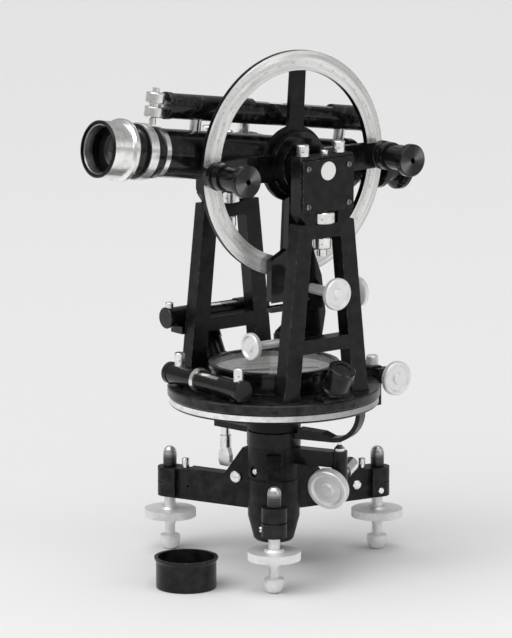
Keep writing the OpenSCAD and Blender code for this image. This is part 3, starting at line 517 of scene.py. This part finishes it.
# Compass
# A lacquered box holds a silvered dial divided in degrees, a blued needle and a flat
# glass. The numbers are engraved and filled with black.
deck_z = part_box("vernier_plate")[1].z
dial_numbers_z = deck_z + 0.00902
dial_numbers_r = 0.0334
dial_low_r = 0.0288
dial_high_r = 0.0318
outer_ring_r = 0.0286
outer_ring_w = 0.00015
inner_ring_r = 0.0253
inner_ring_w = 0.0002
box_black = lacquer("black_box_lacquer", shade=0.006, roughness=0.26, crackle=0.4, wear=1.0, coat=0.5)
dress(box_black, "compass_box")
dial_silver, brush, clean = silvered("silvered_dial", shade=0.78)
x, y, z = dial_silver.along()
reach = (x * x + y * y).root()
lines = degree_lines(x, y, dial_low_r, dial_high_r)
rings = (reach.between(outer_ring_r, outer_ring_r + outer_ring_w)
         + reach.between(inner_ring_r, inner_ring_r + inner_ring_w))
card = dial_silver.blend(clean, tarnished_silver, clean_silver)
dial_silver.set("Base Color", dial_silver.blend(lines.joined(rings), card, engraved_black))
dial_silver.set("Roughness", brush * 0.2 + 0.28)
dial_silver.set("Metallic", clean * 0.2)
dress(dial_silver, "compass_dial")
blued = Finish("blued_steel", Metallic=1.0, Roughness=0.25)
blued.set("Base Color", blued.blend(blued.grain(300), (0.03, 0.045, 0.1), (0.07, 0.09, 0.16)))
dress(blued, "compass_needle")
clear_glass = Finish("clear_glass", Base_Color=(0.97, 0.99, 0.985), Roughness=0.02, IOR=1.5,
                     Transmission_Weight=0.9, Alpha=0.35)
dress(clear_glass, "compass_glass")
engraving = Finish("engraved_black", Base_Color=(0.012, 0.012, 0.012))
engraving.set("Roughness", engraving.grain(900) * 0.2 + 0.5)


def numbers(name, body, values, height, put, ink):
    """Engraved numbers: put(value) gives the place and turn of each one."""
    bm = bmesh.new()
    for value in values:
        text = bpy.data.curves.new("digits", "FONT")
        text.body = str(value)
        text.size = height
        text.align_x = "CENTER"
        text.align_y = "CENTER"
        text.extrude = 0.00002
        text.resolution_u = 2
        digits = bpy.data.objects.new("digits", text)
        scene.collection.objects.link(digits)
        bpy.context.view_layer.update()
        mesh = bpy.data.meshes.new_from_object(digits.evaluated_get(bpy.context.evaluated_depsgraph_get()))
        mesh.transform(put(value))
        bm.from_mesh(mesh)
        bpy.data.objects.remove(digits)
        bpy.data.meshes.remove(mesh)
        bpy.data.curves.remove(text)
    return rest(piece_from(bm, name), ink, body)


def on_dial(value):
    turn = Matrix.Rotation(math.radians(-value), 4, "Z")
    return turn @ Matrix.Translation((0, dial_numbers_r, dial_numbers_z))


numbers("compass_numbers", "alidade", range(0, 360, 30), height=0.0028, put=on_dial, ink=engraving)

# Plate level and side level
# Both levels are glass vials in slotted brass casings, lacquered black, with nickel
# adjusting nuts. Each vial shows its bubble in the casing's slot.
level_black = lacquer("black_level_lacquer", shade=0.005, roughness=0.24, crackle=1.0, wear=1.0,
                      coat=0.7, ripple=1.2)
dress(level_black, "plate_level", "side_level")
dress(bright_nickel, "level_nuts")
vial_glass = Finish("vial_glass", Roughness=0.04, IOR=1.45, Transmission_Weight=0.55, Coat_Weight=0.6)
vial_glass.set("Base Color", vial_glass.blend(vial_glass.grain(200), (0.55, 0.6, 0.5), (0.7, 0.74, 0.66)))
dress(vial_glass, "plate_level_vial", "side_level_vial")
bubble_air = Finish("bubble_air", Base_Color=(0.9, 0.92, 0.9), Coat_Weight=0.5)
bubble_air.set("Roughness", bubble_air.grain(500) * 0.1 + 0.02)
bubble_below_top = 0.000944
turned_flat = Matrix.Rotation(math.radians(90), 4, "Z")


def bubble(name, body, length, radius, put):
    """A long flat bubble, against the top of its vial."""
    bm = bmesh.new()
    bmesh.ops.create_uvsphere(bm, u_segments=20, v_segments=12, radius=radius)
    bmesh.ops.scale(bm, verts=bm.verts, vec=(length / 2 / radius, 0.8, 0.35))
    bm.transform(put)
    for face in bm.faces:
        face.smooth = True
    return rest(piece_from(bm, name), bubble_air, body)


def in_vial(node):
    """The place of a level vial's bubble, under the middle of its top."""
    low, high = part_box(node)
    return Matrix.Translation(((low.x + high.x) / 2, (low.y + high.y) / 2, high.z - bubble_below_top))


bubble("plate_bubble", "alidade", length=0.016, radius=0.003, put=in_vial("plate_level_vial"))
bubble("side_bubble", "alidade", length=0.017, radius=0.003, put=in_vial("side_level_vial") @ turned_flat)

# Standards
# Two A-shaped castings stand on the plate. Nickel capstan nuts under each head raise or
# lower the pivot's block, and a screwed plate covers the block outside.
standard_black = lacquer("black_standard_lacquer", shade=0.008, roughness=0.33, crackle=0.8, wear=1.0,
                         coat=0.25, ripple=0.8)
dark_steel = nickel("dark_steel", shade=0.25, roughness=0.28)
dress(standard_black, "standard_front", "standard_back", "bearing_covers")
dress(bright_nickel, "bearing_nuts")
dress(dark_steel, "cover_screws")

# Vernier frame and reading microscopes
# The frame carries a microscope over each end of the circle, and hangs the clip arm with
# its frosted clamp, tangent and clip screws. The microscopes' eye ends are turned faces, with a painted
# sheen in the shape of a cone.
axis_z = joint_at["telescope_tilt"].z
along_back = Matrix.Rotation(math.radians(-90), 4, "X")
along_front = Matrix.Rotation(math.radians(90), 4, "X")
clamp_knob_back = Vector((-0.0036, 0, 0))
gloss_black = lacquer("black_gloss_lacquer", shade=0.006, roughness=0.2, crackle=0.25, wear=0.8,
                      coat=0.7)
dress(gloss_black, "vernier_frame", "clip_arm", "microscope_rings")
for side in ("left", "right"):
    low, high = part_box(f"microscope_{side}")
    microscope_y = (low.y + high.y) / 2
    eye_face_x = high.x - 0.0002
    turned = lacquer(f"microscope_{side}_lacquer", shade=0.006, roughness=0.22, crackle=0.25, wear=0.8,
                     coat=0.6)
    x, y, z = turned.along()
    # Painted highlight: a sheen fanning round the eye face, painted into its colour.
    angle = (z - axis_z).angle_over(y - microscope_y)
    cone = (angle * 2 + 0.6).sine() * 0.5 + 0.5
    painted_sheen = turned.ramp(cone, (0.25, 0.012), (0.75, 0.05), (0.98, 0.16))
    turned.cover(x > eye_face_x, painted_sheen, metallic=0.5, roughness=0.34)
    dress(turned, f"microscope_{side}")
dress(frosted_nickel, "vertical_clamp_screw", "vertical_tangent_screw", "clip_screw")
milled_rim("vertical_clamp_milling", "vertical_clamp", radius=0.00925, low=0.0006, high=0.003, teeth=60,
           put=Matrix.Translation(joint_at["vertical_clamp_turn"] + clamp_knob_back) @ along_x)
milled_rim("vertical_tangent_milling", "vertical_tangent", radius=0.0085, low=0.0006, high=0.003, teeth=56,
           put=Matrix.Translation(joint_at["vertical_tangent_turn"]) @ along_back)
milled_rim("clip_milling", "clip", radius=0.008, low=0.0006, high=0.0029, teeth=54,
           put=Matrix.Translation(joint_at["clip_turn"]) @ along_front)

# Telescope
# A lacquered tube on a forged axle, with a bright objective cell on its draw tube and a
# stepped black eyepiece. A dull ring holds the lens, and a frosted pinion racks the focus.
dip = math.radians(8.5)
tilt = Matrix.Translation((0, 0, axis_z)) @ Matrix.Rotation(-dip, 4, "X")
pivot_end_x = 0.0394
cell_mouth = 0.1265
cell_inside_r = 0.0155
cell_inside_from = 0.1
# Corners of the lens ring's section: the radius, and the place along the tube.
ring_corners = ((0.01455, 0.1215), (0.01455, 0.1262), (0.0143, 0.1264),
                (0.0136, 0.126), (0.0128, 0.1235), (0.0128, 0.1215))
focus_side_x = -0.022
focus_y = -0.03
tube_black = lacquer("black_tube_lacquer", shade=0.005, roughness=0.2, crackle=0.8, wear=1.0, coat=0.8,
                     ripple=1.6)
# Lighter grey patches at random in the lacquer, which also stand in as painted glints off its mottled
# coat.
mottle_and_glints = tube_black.ramp(tube_black.grain(120, detail=5), (0.55, 0), (0.75, 0.6))
tube_black.cover(mottle_and_glints, (0.05, 0.05, 0.048), metallic=0.1, roughness=0.35)
dress(tube_black, "telescope_tube")
axle = lacquer("black_axle_lacquer", shade=0.006, roughness=0.24, crackle=0.4, wear=0.8, coat=0.5)
x, y, z = axle.along()
axle.cover(abs(x) > pivot_end_x, (0.86, 0.86, 0.85), metallic=0.6, roughness=0.22)
dress(axle, "trunnion")
dress(gloss_black, "eyepiece")
dress(clear_glass, "eyepiece_lens")
dress(bright_nickel, "telescope_bands", "reticle_screws")
dress(frosted_nickel, "focus_pinion")
cell_nickel = nickel("cell_nickel", shade=0.95, roughness=0.24)
x, y, z = cell_nickel.along()
ahead = (z - axis_z) * math.sin(dip) - y * math.cos(dip)
over = (z - axis_z) * math.cos(dip) + y * math.sin(dip)
reach = (x * x + over * over).root()
cell_black = (ahead > cell_mouth) + (reach < cell_inside_r) * (ahead > cell_inside_from)
cell_nickel.cover(cell_black, matt_black, metallic=0, roughness=0.25)
dress(cell_nickel, "objective_cell")
coated_glass = Finish("objective_glass", Roughness=0.04, IOR=1.5, Coat_Weight=0.6, Coat_Roughness=0.03)
# Painted shade: the lens is coloured near black for the dark inside of the tube seen through it.
painted_dark_inside = coated_glass.blend(coated_glass.grain(40), (0.006, 0.006, 0.008), (0.02, 0.02, 0.022))
coated_glass.set("Base Color", painted_dark_inside)
dress(coated_glass, "objective_lens")
bm = bmesh.new()
corners = [bm.verts.new((radius, 0, along)) for radius, along in ring_corners]
section = [bm.edges.new(pair) for pair in zip(corners, corners[1:] + corners[:1])]
bmesh.ops.spin(bm, geom=corners + section, cent=(0, 0, 0), axis=(0, 0, 1), angle=2 * math.pi,
               steps=64, use_merge=True)
bmesh.ops.remove_doubles(bm, verts=bm.verts, dist=1e-6)
bmesh.ops.recalc_face_normals(bm, faces=bm.faces)
bm.transform(tilt @ along_front)
rest(piece_from(bm, "lens_ring"), nickel("dull_ring", shade=0.3, roughness=0.34), "objective")
milled_rim("focus_milling", "focus", radius=0.008, low=0.0006, high=0.0034, teeth=54,
           put=tilt @ Matrix.Translation((focus_side_x, focus_y, 0)) @ along_x.inverted())

# Vertical circle
# A four-spoked casting, black behind and on its spokes, with a silvered band let into its
# face, divided in degrees and numbered every ten. This copy of the frame's circle is turned
# ten degrees further, to where the real one has its spokes.
spokes_further = math.radians(10)
band_inner_r = 0.0541
band_outer_r = 0.06535
circle_lines_low_r = 0.0612
circle_lines_high_r = 0.0644
circle_numbers_r = 0.0585
circle_low, circle_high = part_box("vertical_circle")
circle_back_x = circle_low.x + 0.0002
circle_face_x = circle_low.x + 0.0016
circle_numbers_x = circle_high.x + 0.00001
line_strength = 0.25
streaks_across = 520
streaks_along = 1.2
circle_silver, brush, clean = silvered("silvered_circle", shade=0.7)
x, y, z = circle_silver.along()
up = z - axis_z
reach = (y * y + up * up).root()
turn = up.angle_over(y)
polar = circle_silver.add("ShaderNodeCombineXYZ", None,
                          {0: reach * streaks_across, 1: turn * streaks_along, 2: turn * turn * 0.5})
streak = circle_silver.add("ShaderNodeTexNoise", None,
                           {"Vector": polar, "Scale": 1.0, "Detail": 3, "Roughness": 0.5})
lines = degree_lines(y, up, circle_lines_low_r, circle_lines_high_r)
streaked = circle_silver.ramp(streak, (0.3, 0), (0.7, 1))
circle_silver.set("Base Color", circle_silver.blend(streaked, (0.6, 0.6, 0.59), (0.97, 0.965, 0.95)))
circle_silver.set("Metallic", clean * 0.4 + 0.35)
circle_silver.set("Roughness", brush * 0.2 + 0.2)
circle_silver.cover(lines * line_strength * (x > circle_face_x), (0.06, 0.06, 0.06), metallic=0.5,
                    roughness=0.4)
spoke_dust = circle_silver.ramp(circle_silver.grain(180, detail=5), (0.4, 0.002), (0.7, 0.011))
off_band = (reach < band_inner_r) + (reach > band_outer_r) + (x < circle_back_x)
circle_silver.cover(off_band, spoke_dust, metallic=0, roughness=0.28)
bm = bmesh.new()
bm.from_mesh(nodes["vertical_circle"].data)
# The borders of the frame's loose faces stay sharp edges once they are merged.
for edge in bm.edges:
    edge.smooth = not edge.is_boundary
bmesh.ops.remove_doubles(bm, verts=bm.verts, dist=1e-6)
bmesh.ops.rotate(bm, verts=bm.verts, cent=(0, 0, axis_z), matrix=Matrix.Rotation(spokes_further, 3, "X"))
turned_circle = rest(piece_from(bm, "turned_circle"), circle_silver, "telescope")
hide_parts("vertical_circle")
dress(bright_nickel, "circle_hub")


def on_circle(value):
    angle = math.radians(value)
    out = Vector((0, math.sin(angle), math.cos(angle)))
    face = Vector((1, 0, 0))
    upright = Matrix((out.cross(face), out, face)).transposed().to_4x4()
    return tilt @ Matrix.Translation(out * circle_numbers_r + face * circle_numbers_x) @ upright


faint = Finish("worn_engraving", Metallic=0.4, Roughness=0.4)
faint.set("Base Color", faint.blend(faint.grain(300), (0.3, 0.3, 0.29), (0.62, 0.61, 0.6)))
numbers("circle_numbers", "telescope", range(0, 360, 10), height=0.0019, put=on_circle, ink=faint)

# Telescope level
# The long level over the tube has a cast brass casing under thick wrinkled lacquer, and
# hangs between nickel posts and capstan nuts.
telescope_bubble_at = (0, -0.004, 0.03175)
wrinkled = lacquer("black_wrinkled_lacquer", shade=0.005, roughness=0.22, crackle=1.4, wear=1.0,
                   coat=0.8, ripple=3.2)
wrinkles = wrinkled.ramp(wrinkled.grain(210, detail=5), (0.52, 0), (0.72, 0.7))
wrinkled.cover(wrinkles, (0.07, 0.07, 0.068), metallic=0.1, roughness=0.4)
dress(wrinkled, "telescope_level")
dress(vial_glass, "telescope_level_vial")
dress(bright_nickel, "telescope_level_posts")
bubble("telescope_bubble", "telescope", length=0.02, radius=0.0034,
       put=tilt @ Matrix.Translation(telescope_bubble_at) @ turned_flat)

# Lens cap
# A spun brass cup, lacquered black inside and out, with a lip round its mouth. It stands
# on the floor with the mouth up.
cap_black = lacquer("black_cap_lacquer", shade=0.012, roughness=0.34, crackle=0.4, wear=0.7, coat=0.3)
dress(cap_black, "lens_cap")
